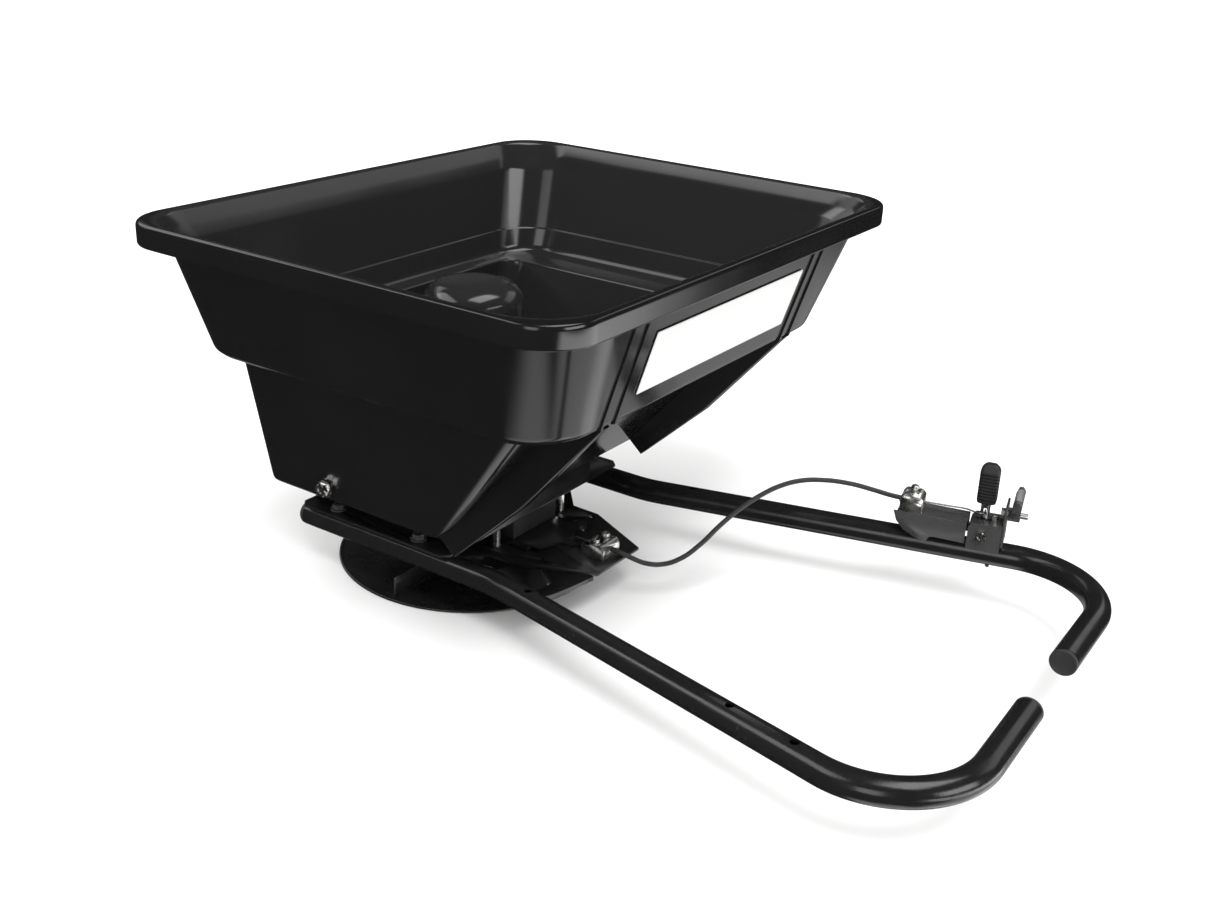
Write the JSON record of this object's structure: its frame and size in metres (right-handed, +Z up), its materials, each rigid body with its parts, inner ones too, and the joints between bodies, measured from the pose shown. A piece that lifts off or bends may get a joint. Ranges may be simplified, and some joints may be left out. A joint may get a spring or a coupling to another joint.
{
  "type": "garden spreader",
  "caption": "Broadcast spreader: open moulded hopper above a finned spinning disc, shutter gate on a cable, hand lever and two bent mounting tubes.",
  "frame": {"origin": "on the ground under the middle of the bounding box, the underside of the disc at Z = 0", "axes": "+X runs forward from the hopper to the free ends of the two tubes, Y across the hopper, +Z up out of the hopper's mouth"},
  "size_m": [0.7, 0.52, 0.34],
  "materials": {
    "hopper_plastic": "glossy moulded",
    "label_white": "satin printed plate, blank",
    "rail_enamel": "semi-gloss black enamel",
    "disc_enamel": "semi-gloss black enamel",
    "gunmetal": "dark grey semi-gloss coat",
    "sheet_black": "satin black powder coat",
    "plastic_matte": "fine moulded grain",
    "grip_plastic": "ribbed, soft sheen",
    "cast_grey": "grey casting, light wear",
    "zinc": "zinc plated",
    "steel_bright": "bright rolled",
    "casing_grey": "smooth jacket"
  },
  "bodies": {
    "frame": {"base_plate": "sheet_black", "bracket_bolt": "zinc", "cable_casing": "casing_grey", "cable_clamp": "zinc", "casing_clamp": "zinc", "casing_clamp_screw": "zinc", "clamp_screw_left": "zinc", "clamp_screw_right": "zinc", "control_bracket": "gunmetal", "deck_bolt_front_left": "gunmetal", "deck_bolt_front_right": "gunmetal", "deck_bolt_rear_left": "gunmetal", "deck_bolt_rear_right": "gunmetal", "deck_plate": "sheet_black", "deflector_wing": "sheet_black", "gate_guide_left": "sheet_black", "gate_guide_right": "sheet_black", "hopper_bin": "hopper_plastic", "hopper_bolt_left": "zinc", "hopper_bolt_right": "zinc", "hopper_nut_left": "zinc", "hopper_nut_right": "zinc", "label_plate": "label_white", "lead_gland": "plastic_matte", "motor_can": "cast_grey", "motor_gearbox": "cast_grey", "motor_plate": "sheet_black", "outlet_throat": "plastic_matte", "pivot_bolt": "zinc", "pivot_nut": "zinc", "rail_left": "rail_enamel", "rail_plug_front_left": "plastic_matte", "rail_plug_front_right": "plastic_matte", "rail_plug_rear_left": "plastic_matte", "rail_plug_rear_right": "plastic_matte", "rail_right": "rail_enamel", "rail_saddle": "gunmetal", "saddle_bolt": "zinc", "spacer_post_front_left": "zinc", "spacer_post_front_right": "zinc", "spacer_post_rear_left": "zinc", "spacer_post_rear_right": "zinc", "stop_bolt": "zinc", "stop_plate": "gunmetal"},
    "spinner": {"drive_shaft": "steel_bright", "spinner_disc": "disc_enamel", "spinner_hub": "cast_grey", "hub_screw": "zinc", "spinner_fin_1": "disc_enamel", "spinner_fin_2": "disc_enamel", "spinner_fin_3": "disc_enamel", "spinner_fin_4": "disc_enamel"},
    "lever": {"control_lever": "steel_bright", "lever_grip": "grip_plastic"},
    "gate": {"shutter_gate": "sheet_black", "inner_wire_gate": "steel_bright"},
    "lever wire": {"inner_wire_lever": "steel_bright"},
    "wing nut": {"wing_nut": "gunmetal"}
  },
  "joints": [
    {"name": "disc_spin", "type": "hinge", "parent": "frame", "child": "spinner", "pos_m": [-0.206, 0, 0.02], "axis": [0, 0, 1], "continuous": true},
    {"name": "lever_tilt", "type": "hinge", "parent": "frame", "child": "lever", "pos_m": [0.21888, 0.18847, 0.081], "axis": [-0.2232, 0.9748, 0], "range_deg": [-30, 5]},
    {"name": "gate_slide", "type": "slide", "parent": "frame", "child": "gate", "axis": [1, 0, 0], "range_m": [-0.0096, 0.0017]},
    {"name": "lever_wire_slide", "type": "slide", "parent": "frame", "child": "lever wire", "axis": [0.9746, 0.2232, 0.0175], "range_m": [-0.0096, 0.0017]},
    {"name": "wing_nut_turn", "type": "hinge", "parent": "frame", "child": "wing nut", "pos_m": [0.24292, 0.19397, 0.10044], "axis": [0.9746, 0.2232, 0.0175], "range_deg": [-180, 180]}
  ],
  "couplings": [
    {"joint": "gate_slide", "follows": "lever_tilt", "m_per_rad": 0.018048},
    {"joint": "lever_wire_slide", "follows": "lever_tilt", "m_per_rad": 0.018048}
  ]
}
